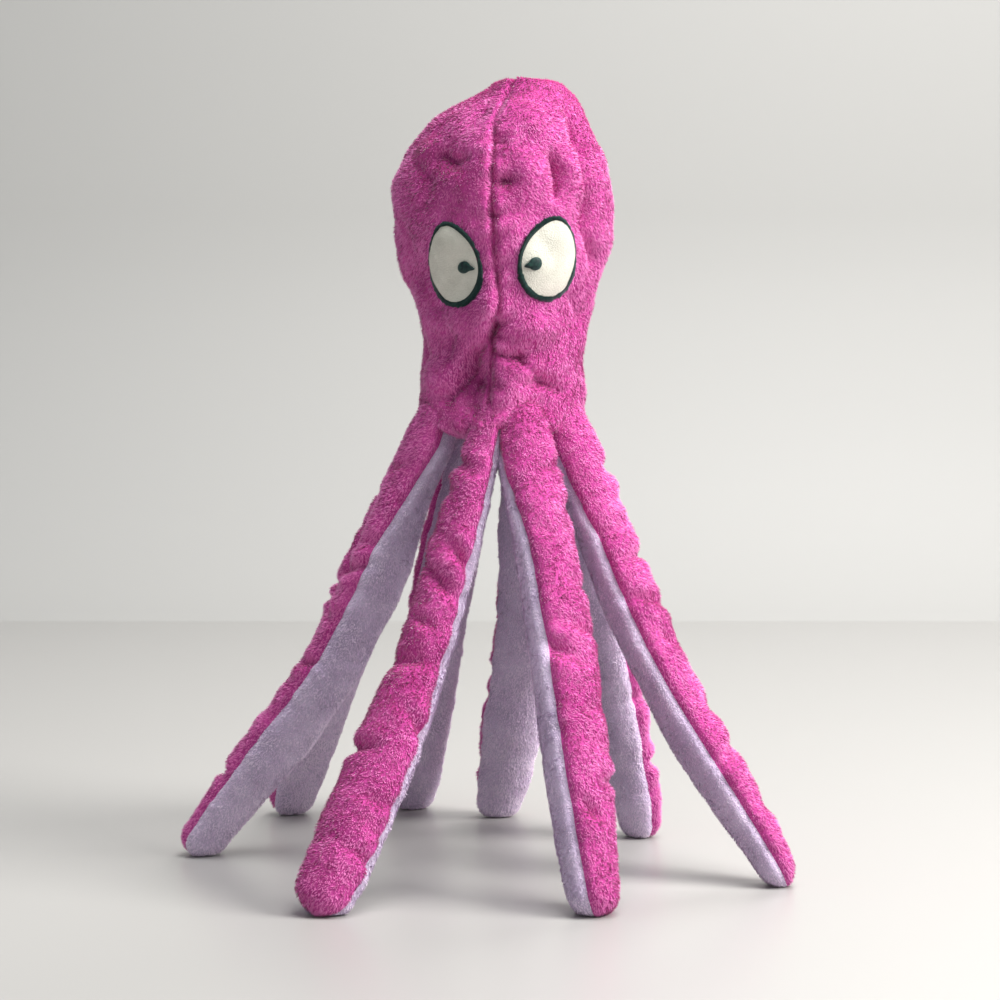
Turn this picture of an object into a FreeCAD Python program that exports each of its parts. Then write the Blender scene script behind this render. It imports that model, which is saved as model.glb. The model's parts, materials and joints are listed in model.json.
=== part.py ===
"""Plush octopus toy that stands on eight jointed tentacles.

Millimetres, +Z up, face towards -Y. The origin is on the floor, under the middle of the
toy's bounding box. Every soft piece is a plain closed solid: skins are thin shells, and the
stuffing inside them is a solid of its own.
"""

import FreeCAD, Part
import math
import os

from FreeCAD import Matrix, Placement, Rotation, Vector

# ---- where the toy stands ------------------------------------------------------------
BODY_X = 7.5            # upright middle line of head and neck
BODY_Y = 1.0
UP = Vector(0.0, 0.0, 1.0)
FINEST = 1e-5           # smallest tolerance in the solids

# ---- head: one bag, sewn from a left and a right panel --------------------------------
CROWN_Z = 320.0
NECK_Z = 207.0          # centre of the ball at the bottom of the head, and nod pivot
NECK_BALL_RADIUS = 31.0
HEAD_WIDTH_RATIO = 1.08  # width over depth of head and neck
# (half depth, height, how far the outline moves out and up per millimetre of growth)
HEAD_OUTLINE = (
    (34.0, 224.0, 1.0, 0.0),
    (41.5, 262.0, 1.0, 0.0),
    (31.5, 301.0, 0.7, 0.7),
)
HEAD_SKIN = 3.0

# ---- neck and underside, where the tentacles are sewn in -------------------------------
NECK_GAP = 0.5          # space between the ball of the head and its seat
SLEEVE_RADIUS = 34.5
SLEEVE_TOP_Z = 195.0
SLEEVE_BOTTOM_Z = 181.5
BASE_PANEL_RADIUS = 20.5
BASE_PANEL_BOTTOM_Z = 168.0

# ---- eyes: felt patches with a stitched rim and a stitched pupil ------------------------
EYE_Z = 244.0
EYE_OFFSET = 18.5       # from the middle line
EYE_HALF_HEIGHT = 17.0
EYE_HALF_WIDTH = 11.0
EYE_TILT = 5.0          # degrees, tops lean outward
RIM_WIDTH = 2.4
FELT_THICKNESS = 1.2
RIM_THICKNESS = 1.8
PUPIL_RADIUS = 2.4
PUPIL_THICKNESS = 0.8
PUPIL_OFFSET = 13.0
PUPIL_Z = 242.5
EYE_CUT_REACH = 60.0    # past the front of the head, measured from the middle line

# ---- tentacles ---------------------------------------------------------------------------
TENTACLE_COUNT = 8
ROOT_RING_RADIUS = 31.0
ROOT_Z = 173.0
WIDTH_RATIO = 1.25      # width over thickness of every section
TENTACLE_SKIN = 2.0
ROOT_RADIUS = 8.0       # half thickness at the sewn root
UPPER_RADIUS = 10.5
MIDDLE_RADIUS = 12.0
TIP_RADIUS = 9.5
UPPER_REACH = 25.0      # distances along the tentacle where those sections are reached
MIDDLE_REACH = 50.0
KNEE_SHARE = 0.5        # place of the knee between root and tip
KNEE_RADIUS = 10.5
KNEE_RIM_RADIUS = 9.0
KNEE_GAP = 0.9          # space between the two pieces of a tentacle
KNEE_TAPER = 16.0
BELOW_KNEE = 14.0
TAPER_START = 0.45      # share of the lower piece where it starts to taper to the tip
SOLE_DEPTH = 1.2        # how much the weight flattens each rounded tip

# Going round from the front: tip place from the middle line (x, y), how far the knee hangs
# below the straight line from root to tip, and how far it drifts sideways from that line
# (anticlockwise seen from above).
TENTACLES = (
    (-64.0, -110.0, 9.0, 3.0),
    (34.0, -110.0, 1.0, 1.5),
    (107.0, -60.0, 8.0, 0.0),
    (60.0, 40.0, 1.0, 0.0),
    (0.0, 88.0, 3.0, -5.0),
    (-40.0, 108.0, 4.0, 3.5),
    (-94.0, 93.0, 4.0, 9.0),
    (-122.0, 0.0, 11.0, 0.0),
)


def line(start, end):
    return Part.LineSegment(start, end).toShape()


def arc(centre, radius, start_angle, end_angle):
    """An arc in the XZ plane from one angle to another, in degrees from +X towards +Z."""
    def at(angle):
        turn = math.radians(angle)
        return centre + Vector(radius * math.cos(turn), 0.0, radius * math.sin(turn))
    middle = (start_angle + end_angle) / 2
    return Part.Arc(at(start_angle), at(middle), at(end_angle)).toShape()


def solid_of_turn(edges, start_angle, sweep):
    """Closes an outline that starts and ends on the Z axis, and turns it about that axis."""
    first = edges[0].Vertexes[0].Point
    last = edges[-1].Vertexes[-1].Point
    face = Part.Face(Part.Wire(edges + [line(last, first)]))
    face.rotate(Vector(0, 0, 0), UP, start_angle)
    return face.revolve(Vector(0, 0, 0), UP, sweep)


def shell_of_turn(outer, inner, start_angle, sweep):
    """The solid between two outlines that both start and end on the Z axis."""
    low_outer = outer[0].Vertexes[0].Point
    high_outer = outer[-1].Vertexes[-1].Point
    low_inner = inner[0].Vertexes[0].Point
    high_inner = inner[-1].Vertexes[-1].Point
    caps = [line(high_outer, high_inner), line(low_inner, low_outer)]
    face = Part.Face(Part.Wire(Part.__sortEdges__(outer + inner + caps)))
    face.rotate(Vector(0, 0, 0), UP, start_angle)
    return face.revolve(Vector(0, 0, 0), UP, sweep)


def stretched(shape, x=1.0, y=1.0):
    """Scales a shape across the Z axis and closes the hairline gaps that this leaves."""
    scale = Matrix()
    scale.scale(x, y, 1.0)
    result = shape.transformGeometry(scale)
    result.fix(FINEST, FINEST, 100 * FINEST)
    return result


# ---- tentacle frames ---------------------------------------------------------------------
def tentacle_points(number):
    """Root pivot, knee pivot, tip centre and hinge direction of a tentacle."""
    tip_x, tip_y, hang, drift = TENTACLES[number - 1]
    turn = math.radians((number - 1.5) * 360.0 / TENTACLE_COUNT)
    middle = Vector(BODY_X, BODY_Y, 0.0)
    root = middle + Vector(ROOT_RING_RADIUS * math.sin(turn), -ROOT_RING_RADIUS * math.cos(turn), ROOT_Z)
    tip = middle + Vector(tip_x, tip_y, TIP_RADIUS - SOLE_DEPTH)
    hinge = (tip - root).cross(UP).normalize()
    _, back, _ = segment_axes(root, tip, hinge)
    knee = root + (tip - root) * KNEE_SHARE - back * hang - hinge * drift
    return root, knee, tip, hinge


def segment_axes(start, end, hinge):
    """Hinge axis, outward direction across the segment, and direction along it.

    The axis is as near to the hinge direction as it can be while square to the segment.
    """
    along = (end - start).normalize()
    back = hinge.cross(along).normalize()
    return along.cross(back), back, along


def placed(shape, start, end, hinge):
    """Moves a segment made along +Z, with its back towards +X, onto its own line."""
    side, back, along = segment_axes(start, end, hinge)
    shape.Placement = Placement(start, Rotation(back, side, along, "ZXY"))
    return shape


def upper_outline(length, inset):
    """Half outline of the upper piece: round root, swelling sides, hollow end for the knee."""
    root = Vector(0, 0, 0)
    knee = Vector(0, 0, length)
    cup = KNEE_RADIUS + KNEE_GAP + inset
    rim = KNEE_RIM_RADIUS - inset
    rim_angle = -math.degrees(math.acos(rim / cup))
    cup_edge = arc(knee, cup, rim_angle, -90.0)
    corners = [
        Vector(ROOT_RADIUS - inset, 0, 0),
        Vector(UPPER_RADIUS - inset, 0, UPPER_REACH),
        Vector(MIDDLE_RADIUS - inset, 0, MIDDLE_REACH),
        Vector(MIDDLE_RADIUS - inset, 0, length - KNEE_TAPER),
        cup_edge.Vertexes[0].Point,
    ]
    sides = [line(a, b) for a, b in zip(corners, corners[1:])]
    return [arc(root, ROOT_RADIUS - inset, -90.0, 0.0)] + sides + [cup_edge]


def lower_outline(length, inset):
    """Half outline of the lower piece: round knee, swelling sides, round tip."""
    knee = Vector(0, 0, 0)
    tip = Vector(0, 0, length)
    corners = [
        Vector(KNEE_RADIUS - inset, 0, 0),
        Vector(MIDDLE_RADIUS - inset, 0, BELOW_KNEE),
        Vector(MIDDLE_RADIUS - inset, 0, length * TAPER_START),
        Vector(TIP_RADIUS - inset, 0, length),
    ]
    sides = [line(a, b) for a, b in zip(corners, corners[1:])]
    return [arc(knee, KNEE_RADIUS - inset, -90.0, 0.0)] + sides + [arc(tip, TIP_RADIUS - inset, 0.0, 90.0)]


def tentacle_segment(outline, start, end, hinge):
    """The back skin, the underside skin and the stuffing of one segment."""
    length = (end - start).Length
    outer = outline(length, 0.0)
    inner = outline(length, TENTACLE_SKIN)
    pieces = {
        "outer": shell_of_turn(outer, inner, -90.0, 180.0),
        "inner": shell_of_turn(outer, inner, 90.0, 180.0),
        "filling": solid_of_turn(inner, 0.0, 360.0),
    }
    return {
        name: placed(stretched(shape, y=WIDTH_RATIO), start, end, hinge)
        for name, shape in pieces.items()
    }


def above_floor(shape):
    """Cuts a tip flat where it rests on the floor."""
    low = shape.BoundBox
    if low.ZMin >= 0.0:
        return shape
    depth = 2 * SOLE_DEPTH
    corner = Vector(low.XMin - depth, low.YMin - depth, -depth)
    below = Part.makeBox(low.XLength + 2 * depth, low.YLength + 2 * depth, depth, corner)
    return shape.cut(below)


def tentacle(number):
    root, knee, tip, hinge = tentacle_points(number)
    upper = tentacle_segment(upper_outline, root, knee, hinge)
    lower = tentacle_segment(lower_outline, knee, tip, hinge)
    nodes = {f"tentacle_{number}_top_{name}": shape for name, shape in upper.items()}
    for name, shape in lower.items():
        nodes[f"tentacle_{number}_tip_{name}"] = above_floor(shape)
    return nodes


# ---- head and neck -------------------------------------------------------------------------
def head_outline(growth):
    """Half outline of the head bag, moved outward by growth."""
    pivot = Vector(0, 0, NECK_Z)
    radius = NECK_BALL_RADIUS + growth
    points = [Vector(radius, 0, NECK_Z)]
    for half_depth, height, out, up in HEAD_OUTLINE:
        points.append(Vector(half_depth + out * growth, 0, height + up * growth))
    points.append(Vector(0, 0, CROWN_Z + growth))
    side = Part.BSplineCurve()
    side.interpolate(Points=points, InitialTangent=Vector(0, 0, 1), FinalTangent=Vector(-1, 0, 0))
    return [arc(pivot, radius, -90.0, 0.0), side.toShape()]


def on_body(shape):
    """Widens a head or neck piece and moves it onto the middle line."""
    widened = stretched(shape, x=HEAD_WIDTH_RATIO)
    widened.translate(Vector(BODY_X, BODY_Y, 0.0))
    return widened


def head():
    outer = head_outline(0.0)
    inner = head_outline(-HEAD_SKIN)
    return {
        "head_panel_right": on_body(shell_of_turn(outer, inner, -90.0, 180.0)),
        "head_panel_left": on_body(shell_of_turn(outer, inner, 90.0, 180.0)),
        "head_filling": on_body(solid_of_turn(inner, 0.0, 360.0)),
    }


def neck():
    """Sleeve round the bottom of the head, and the panel that closes the underside."""
    cup = NECK_BALL_RADIUS + NECK_GAP
    ball = Part.makeSphere(cup, Vector(0, 0, NECK_Z))
    height = SLEEVE_TOP_Z - SLEEVE_BOTTOM_Z
    sleeve = Part.makeCylinder(SLEEVE_RADIUS, height, Vector(0, 0, SLEEVE_BOTTOM_Z)).cut(ball)
    plug_height = SLEEVE_BOTTOM_Z - BASE_PANEL_BOTTOM_Z
    panel = Part.makeCylinder(BASE_PANEL_RADIUS, plug_height, Vector(0, 0, BASE_PANEL_BOTTOM_Z)).cut(ball)
    return {"neck_sleeve": on_body(sleeve), "base_panel": on_body(panel)}


# ---- eyes ------------------------------------------------------------------------------------
def rod(half_width, half_height, x, z, tilt):
    """An upright elliptical rod along Y, in front of the head, leaning by tilt degrees."""
    wide = half_width / HEAD_WIDTH_RATIO
    if half_height > wide:
        ellipse = Part.Ellipse(Vector(0, 0, half_height), Vector(wide, 0, 0), Vector(0, 0, 0))
        face = Part.Face(Part.Wire(ellipse.toShape()))
    else:
        face = Part.Face(Part.Wire(Part.makeCircle(wide, Vector(0, 0, 0), Vector(0, 1, 0))))
    face.rotate(Vector(0, 0, 0), Vector(0, 1, 0), tilt)
    face.translate(Vector(x / HEAD_WIDTH_RATIO, 0, z))
    return face.extrude(Vector(0, -EYE_CUT_REACH, 0))


def grown_head(growth):
    return solid_of_turn(head_outline(growth), 0.0, 360.0)


def eye(side, direction):
    """Felt patch, stitched rim and pupil of one eye; direction is -1 on the left, +1 on the right."""
    tilt = direction * EYE_TILT
    centre = direction * EYE_OFFSET
    patch = rod(EYE_HALF_WIDTH - RIM_WIDTH, EYE_HALF_HEIGHT - RIM_WIDTH, centre, EYE_Z, tilt)
    whole = rod(EYE_HALF_WIDTH, EYE_HALF_HEIGHT, centre, EYE_Z, tilt)
    pupil = rod(PUPIL_RADIUS, PUPIL_RADIUS, direction * PUPIL_OFFSET, PUPIL_Z, 0.0)
    bare = grown_head(0.0)
    felt_face = grown_head(FELT_THICKNESS)
    rim_face = grown_head(RIM_THICKNESS)
    pupil_face = grown_head(FELT_THICKNESS + PUPIL_THICKNESS)
    pieces = {
        f"eye_white_{side}": patch.common(felt_face).cut(bare),
        f"eye_rim_{side}": whole.cut(patch).common(rim_face).cut(bare),
        f"eye_pupil_{side}": pupil.common(pupil_face).cut(felt_face),
    }
    return {name: on_body(shape) for name, shape in pieces.items()}


def main():
    os.makedirs("parts", exist_ok=True)
    nodes = {}
    nodes.update(head())
    nodes.update(neck())
    nodes.update(eye("left", -1))
    nodes.update(eye("right", 1))
    for number in range(1, TENTACLE_COUNT + 1):
        nodes.update(tentacle(number))
    for name, shape in nodes.items():
        shape.exportStep(f"parts/{name}.step")


main()
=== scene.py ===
import json
import math

import bpy
import numpy as np
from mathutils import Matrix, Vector
from mathutils.bvhtree import BVHTree


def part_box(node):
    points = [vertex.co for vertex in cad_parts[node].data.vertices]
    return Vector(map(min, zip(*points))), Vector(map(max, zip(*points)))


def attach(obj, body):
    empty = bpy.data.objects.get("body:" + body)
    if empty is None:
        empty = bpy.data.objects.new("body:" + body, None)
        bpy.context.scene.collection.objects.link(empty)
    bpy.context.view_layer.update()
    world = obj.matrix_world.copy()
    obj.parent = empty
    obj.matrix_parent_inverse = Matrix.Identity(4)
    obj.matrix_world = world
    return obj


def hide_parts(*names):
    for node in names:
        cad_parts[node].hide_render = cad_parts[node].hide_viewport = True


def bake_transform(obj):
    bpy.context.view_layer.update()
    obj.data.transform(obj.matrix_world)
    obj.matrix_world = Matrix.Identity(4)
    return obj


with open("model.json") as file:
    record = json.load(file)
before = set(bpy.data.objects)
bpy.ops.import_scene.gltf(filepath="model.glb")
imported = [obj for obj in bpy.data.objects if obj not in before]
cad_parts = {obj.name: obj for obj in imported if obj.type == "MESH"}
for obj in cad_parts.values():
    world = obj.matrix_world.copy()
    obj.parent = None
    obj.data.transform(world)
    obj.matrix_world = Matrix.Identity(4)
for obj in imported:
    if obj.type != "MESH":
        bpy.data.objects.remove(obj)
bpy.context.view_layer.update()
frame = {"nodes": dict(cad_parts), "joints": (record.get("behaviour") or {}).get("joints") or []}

# All sizes are metres. The toy faces -Y and stands on z = 0.
MM = 0.001
UP = np.array([0.0, 0.0, 1.0])
RNG = np.random.default_rng(567)

JOINTS = {joint["name"]: joint for joint in frame["joints"]}
HEAD_BOX = [np.array(corner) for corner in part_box("head_panel_right")]
NECK_BOX = [np.array(corner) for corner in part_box("neck_sleeve")]
NECK_PIVOT = np.array(JOINTS["head_nod"]["pos_m"])
BODY_X = NECK_PIVOT[0]
BODY_Y = NECK_PIVOT[1]
CROWN_Z = HEAD_BOX[1][2]
NECK_BOTTOM_Z = NECK_BOX[0][2]

SKIN_THICKNESS = 1.2 * MM
STUFFING_INSET = 1.6 * MM
CUT_EDGE_ANGLE = math.radians(70.0)   # the cut edges of the fabric are steeper than this

# ---- head -------------------------------------------------------------------------------
HEAD_DEPTH_RATIO = 0.93
# height, how far the middle of the bag stands to the right, half width
HEAD_SECTIONS = np.array([
    (166.0, -0.6, 33.5),
    (180.0, -0.4, 33.5),
    (192.0, -0.2, 32.6),
    (203.7, 1.4, 31.6),
    (215.0, 1.8, 32.6),
    (228.0, 1.2, 34.6),
    (245.0, 0.8, 40.0),
    (257.0, 0.4, 42.9),
    (268.0, 0.5, 43.5),
    (278.0, 0.3, 42.6),
    (286.0, 0.9, 40.6),
    (294.0, 1.8, 36.6),
    (302.5, 3.6, 31.7),
    (306.5, 6.6, 27.0),
    (310.7, 10.2, 21.6),
    (316.0, 11.6, 14.5),
]) * MM
HEAD_SPLIT_Z = 184.0 * MM      # the head panels end here and the neck skin starts
CROWN_RING = 0.6 * MM          # the fabric closes to this radius at the crown
# how far the front seam wanders from the middle, by height
SEAM_HEIGHTS = np.array([170.0, 180.0, 205.0, 215.0, 228.0, 252.0, 272.0, 300.0, 320.0]) * MM
SEAM_WANDER = np.array([-4.5, -4.6, -3.4, -2.4, 0.0, -2.2, -3.6, -1.5, 7.0]) * MM
SEAM_GROOVE = 3.0 * MM
SEAM_REACH = 1.25 * MM
KEEL = 0.10                    # how far the front seam stands proud, as a share of the half width
KEEL_REACH = 1.0               # radians round the bag on each side of the seam
# dents in the front of the head: x from the middle, height, reach across, reach up, depth
DENTS = (
    (-19.0, 283.0, 5.0, 4.0, 4.6),
    (-30.0, 276.0, 4.0, 5.0, 2.4),
    (0.8, 275.5, 4.5, 2.6, 4.6),
    (0.0, 290.0, 3.5, 1.6, 2.6),
    (-3.0, 262.0, 3.0, 1.8, 2.0),
    (22.0, 279.0, 3.0, 6.0, 4.0),
    (30.5, 296.0, 3.6, 6.5, 4.2),
    (36.0, 266.0, 2.6, 7.0, 3.6),
    (38.0, 246.0, 3.0, 6.0, 2.8),
    (16.0, 196.0, 6.0, 3.0, 3.6),
    (-9.0, 200.0, 6.5, 8.0, 10.5),
    (-13.0, 190.0, 6.0, 8.0, 5.0),
    (12.0, 187.0, 8.0, 4.0, 2.8),
    (-33.0, 214.0, 4.0, 3.6, 3.2),
    (-32.0, 240.0, 4.0, 6.0, 2.0),
)
# swellings in the front of the head, in the same terms
BULGES = (
    (-4.0, 228.0, 5.5, 7.0, 6.0),
    (-16.0, 221.0, 11.0, 7.0, 4.2),
    (13.0, 217.0, 12.0, 6.0, 4.6),
    (12.0, 201.0, 7.0, 4.0, 3.0),
    (-25.0, 198.0, 6.0, 9.0, 3.6),
    (26.0, 204.0, 7.0, 9.0, 2.6),
    (14.0, 300.0, 9.0, 9.0, 2.2),
    (-12.0, 294.0, 9.0, 6.0, 2.4),
    (-27.0, 290.0, 7.0, 4.0, 2.2),
    (29.0, 283.0, 3.5, 7.0, 2.2),
    (10.0, 284.0, 6.0, 8.0, 1.6),
)
# folds in the front of the head: points (x, z) of the fold line, depth, reach
FOLDS = (
    (((-1.0, 219.0), (-5.0, 213.0), (-11.0, 208.0), (-15.0, 200.0), (-22.0, 190.0)), 6.0, 2.3),
    (((-3.0, 209.0), (3.0, 206.5), (9.0, 206.5)), 4.4, 1.8),
    (((7.0, 206.5), (15.0, 209.0), (23.0, 214.0), (34.0, 222.0)), 2.2, 3.6),
    (((9.0, 204.0), (16.0, 199.0), (24.0, 193.0)), 3.4, 1.8),
    (((27.0, 305.0), (31.0, 297.0), (33.0, 288.0)), 3.6, 2.0),
    (((20.0, 286.0), (23.5, 279.0), (22.0, 270.0)), 3.4, 1.8),
    (((31.0, 284.0), (36.0, 272.0), (34.0, 258.0), (39.0, 246.0)), 3.6, 1.9),
    (((-6.0, 303.0), (-15.0, 294.0), (-26.0, 285.0)), 2.6, 2.6),
    (((-24.0, 287.0), (-19.0, 283.0), (-14.0, 285.0)), 2.2, 1.8),
    (((-33.0, 283.0), (-28.0, 276.0), (-30.0, 266.0)), 1.8, 2.2),
    (((-40.0, 262.0), (-36.0, 250.0), (-37.0, 238.0)), 1.6, 2.4),
    (((-36.0, 216.0), (-29.0, 208.0), (-32.0, 198.0)), 2.8, 2.0),
    (((28.0, 232.0), (33.0, 224.0), (38.0, 226.0)), 2.2, 2.0),
    (((-24.0, 226.0), (-19.0, 214.0), (-20.0, 206.0)), 1.8, 2.0),
)
# uneven stuffing: depth and size in mm, seed
HEAD_LUMPS = ((1.3, 26.0, 3), (1.5, 12.0, 5), (0.5, 6.0, 7))
HEAD_FULLNESS = 0.03           # how much fuller than round it is at the front, sides and back
SEAM_PUCKER = 1.1 * MM
HEAD_ROWS = 118
HEAD_CAP_ROWS = 14             # how many of them close the crown
HEAD_COLUMNS = 104

# ---- neck -----------------------------------------------------------------------------------
NECK_ROWS = 40
NECK_COLUMNS = 200
NECK_GATHERS = 22              # folds round the bottom of the bag
NECK_GATHER_DEPTH = 1.2 * MM
NECK_OPENING = 15.0 * MM       # half width where the fabric meets the base panel

# ---- eyes -----------------------------------------------------------------------------------
EYE_HALF_HEIGHT = 17.1 * MM
EYE_SHAPES = {
    # direction, middle x, middle z, half width
    "left": (-1.0, -17.8 * MM, 242.7 * MM, 10.9 * MM),
    "right": (1.0, 18.8 * MM, 245.0 * MM, 11.9 * MM),
}
EYE_LEAN = 2.1 * MM            # the top stands out this far past the middle
EYE_BOW = 1.3 * MM             # top and bottom both stand out this far
EYE_EGG = 0.13                 # how much narrower the top is than the middle
# millimetres of stitched rim: everywhere, then more on top, on the inner side and at the foot
RIM_WIDTHS = (1.15, 1.15, 0.75, 1.75)
RIM_STITCHES = 210
STITCH_RAGGED = 0.22 * MM
# the rim's section: share of the way across it, height in mm
RIM_PROFILE = (
    (0.0, 0.0), (0.06, 0.75), (0.22, 1.15), (0.5, 1.35), (0.78, 1.15), (0.94, 0.75), (1.0, 0.0))
STITCH_HEIGHT = 0.2 * MM
PATCH_THICKNESS = 2.2 * MM
PUPIL_THICKNESS = 1.4 * MM
PUPIL_X = 13.2 * MM            # from the middle of the face
PUPIL_Z = {"left": 242.0 * MM, "right": 243.0 * MM}
PUPIL_RADIUS = 2.5 * MM

# ---- tentacles ------------------------------------------------------------------------------
TENTACLE_COUNT = 8
TENTACLE_LUMPS = ((0.8, 15.0, 2), (0.3, 6.0, 3))
TENTACLE_ROWS = 84             # of each half of a tentacle
TENTACLE_COLUMNS = 40
TIP_ROWS = 13
SEWN_DEPTH = 16.9 * MM         # how far the fabric goes into the neck, from the root pivot
WIDTH_RATIO = 1.25
# half thickness in mm by distance from the root pivot, at and from the knee, and at the tip
UPPER_THICKNESS = ((-9.0, 8.5), (0.0, 9.8), (25.0, 10.9), (50.0, 12.0), (80.0, 12.0))
KNEE_THICKNESS = 11.7
LOWER_THICKNESS = ((15.0, 12.2), (45.0, 12.3), (75.0, 10.9))
TIP_THICKNESS = 9.6
SPLIT_BEFORE_KNEE = 24.0 * MM
PUCKER_PITCH = 15.0 * MM
PUCKER_DEPTH = 0.7 * MM
# turn of the section about its own line, in degrees, at root, a quarter of the way and tip, then
# how wide it is at root, knee and tip against the plain width
TENTACLE_TWIST = (
    (0.0, 0.0, -16.0, 0.60, 0.75, 0.99),
    (0.0, -42.0, -64.0, 0.95, 1.0, 1.0),
    (20.0, -16.0, -36.0, 0.92, 0.92, 0.80),
    (0.0, 0.0, 8.0, 0.88, 0.88, 0.86),
    (0.0, 8.0, 18.0, 0.88, 0.90, 0.90),
    (0.0, 0.0, 0.0, 0.88, 0.88, 0.88),
    (0.0, 0.0, -8.0, 0.88, 0.88, 0.88),
    (-34.0, 16.0, 38.0, 0.92, 0.92, 0.88),
)
TWIST_SHARES = (0.0, 0.25, 1.0)
# millimetres from the root pivot to where the fabric is sewn in, where the two differ
ROOT_SHIFT = {1: (6.5, -1.5, 3.0), 2: (-2.0, 0.0, 0.0)}
# cross folds, least and most: from one to the next, then middle and reach round the tentacle in
# radians, slant, depth and width; all but the radians in mm
FOLD_SPACING = (10.0, 23.0)
FOLD_MIDDLE = (-1.4, 1.4)
FOLD_REACH = (0.4, 1.1)
FOLD_SLANT = (-7.0, 7.0)
FOLD_DEPTH = (1.2, 4.0)
FOLD_WIDTH = (2.0, 3.8)
SIDE_SEAM_DEPTH = 1.5 * MM
SIDE_SEAM_REACH = 1.9 * MM
SIDE_SEAM_NIP = 0.35 * MM

# ---- pile -------------------------------------------------------------------------------------
PILE_DENSITY = 3.0e6           # tufts per square metre
MAGENTA_PILE = 1.4 * MM
LILAC_PILE = 1.05 * MM
TUFT_HALF_WIDTH = 0.22 * MM
TUFT_SOFTNESS = 0.6            # how much a tuft's shading follows the fabric below it
TUFT_OUT = 0.75                # how much a tuft stands outward,
TUFT_NAP = 0.7                 # lies along the nap,
TUFT_CLUMP = 0.38              # leans with its clump
TUFT_LOOSE = 0.12              # and goes its own way
TUFT_LEAST_OUT = 0.30
TUFT_ROOT = 0.1 * MM           # how deep it sits in the fabric
SHADE_STEPS = (-0.9, 0.1, 1.1)
SEAM_PILE = 0.55               # share of the pile length that is left at a seam
SEAM_PILE_REACH = 2.0 * MM


# ================================ numbers ======================================================
def smooth(edge_low, edge_high, value):
    t = np.clip((value - edge_low) / (edge_high - edge_low), 0.0, 1.0)
    return t * t * (3.0 - 2.0 * t)


def unit(vectors):
    length = np.linalg.norm(vectors, axis=-1, keepdims=True)
    return vectors / np.maximum(length, 1e-12)


def lattice(cells, seed):
    """A fixed random number from -1 to 1 for each whole-number cell."""
    x, y, z = (cells[..., axis].astype(np.uint64) for axis in range(3))
    mixed = (x * np.uint64(73856093)) ^ (y * np.uint64(19349663)) ^ (z * np.uint64(83492791))
    mixed = (mixed + np.uint64(seed * 2654435761)) & np.uint64(0xFFFFFFFF)
    mixed = ((mixed ^ (mixed >> np.uint64(15))) * np.uint64(2246822519)) & np.uint64(0xFFFFFFFF)
    mixed = ((mixed ^ (mixed >> np.uint64(13))) * np.uint64(3266489917)) & np.uint64(0xFFFFFFFF)
    return (mixed ^ (mixed >> np.uint64(16))).astype(float) / 2.0**31 - 1.0


def noise(points, scale, seed):
    """Smooth noise from -1 to 1 whose lumps are about scale across."""
    place = points / scale + 4096.0
    cell = np.floor(place).astype(np.int64)
    part = place - cell
    part = part * part * (3.0 - 2.0 * part)
    total = np.zeros(points.shape[:-1])
    for corner in np.ndindex(2, 2, 2):
        weight = np.ones(points.shape[:-1])
        for axis in range(3):
            weight = weight * (part[..., axis] if corner[axis] else 1.0 - part[..., axis])
        total += weight * lattice(cell + np.array(corner), seed)
    return total


def lumps(points, rows, seed=0):
    """Uneven stuffing: soft noise, each row being its depth and size in mm and its seed."""
    return sum(depth * MM * noise(points, size * MM, seed + extra) for depth, size, extra in rows)


def noise_vector(points, scale, seed):
    return np.stack([noise(points, scale, seed + axis) for axis in range(3)], axis=-1)


def grid_normals(points):
    """Outward normals of a grid whose rows run along the piece and columns round it."""
    along = np.gradient(points, axis=0)
    across = np.gradient(points, axis=1)
    return unit(np.cross(across, along))


# ================================ materials ====================================================
def new_material(name, color, roughness, sheen, sheen_tint):
    material = bpy.data.materials.new(name)
    material.use_nodes = True
    shader = material.node_tree.nodes["Principled BSDF"]
    shader.inputs["Base Color"].default_value = (*color, 1.0)
    shader.inputs["Roughness"].default_value = roughness
    shader.inputs["Specular IOR Level"].default_value = 0.25
    shader.inputs["Sheen Weight"].default_value = sheen
    shader.inputs["Sheen Roughness"].default_value = 0.45
    shader.inputs["Sheen Tint"].default_value = (*sheen_tint, 1.0)
    return material


def add_node(material, kind, **settings):
    node = material.node_tree.nodes.new(kind)
    for key, value in settings.items():
        setattr(node, key, value)
    return node


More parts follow.
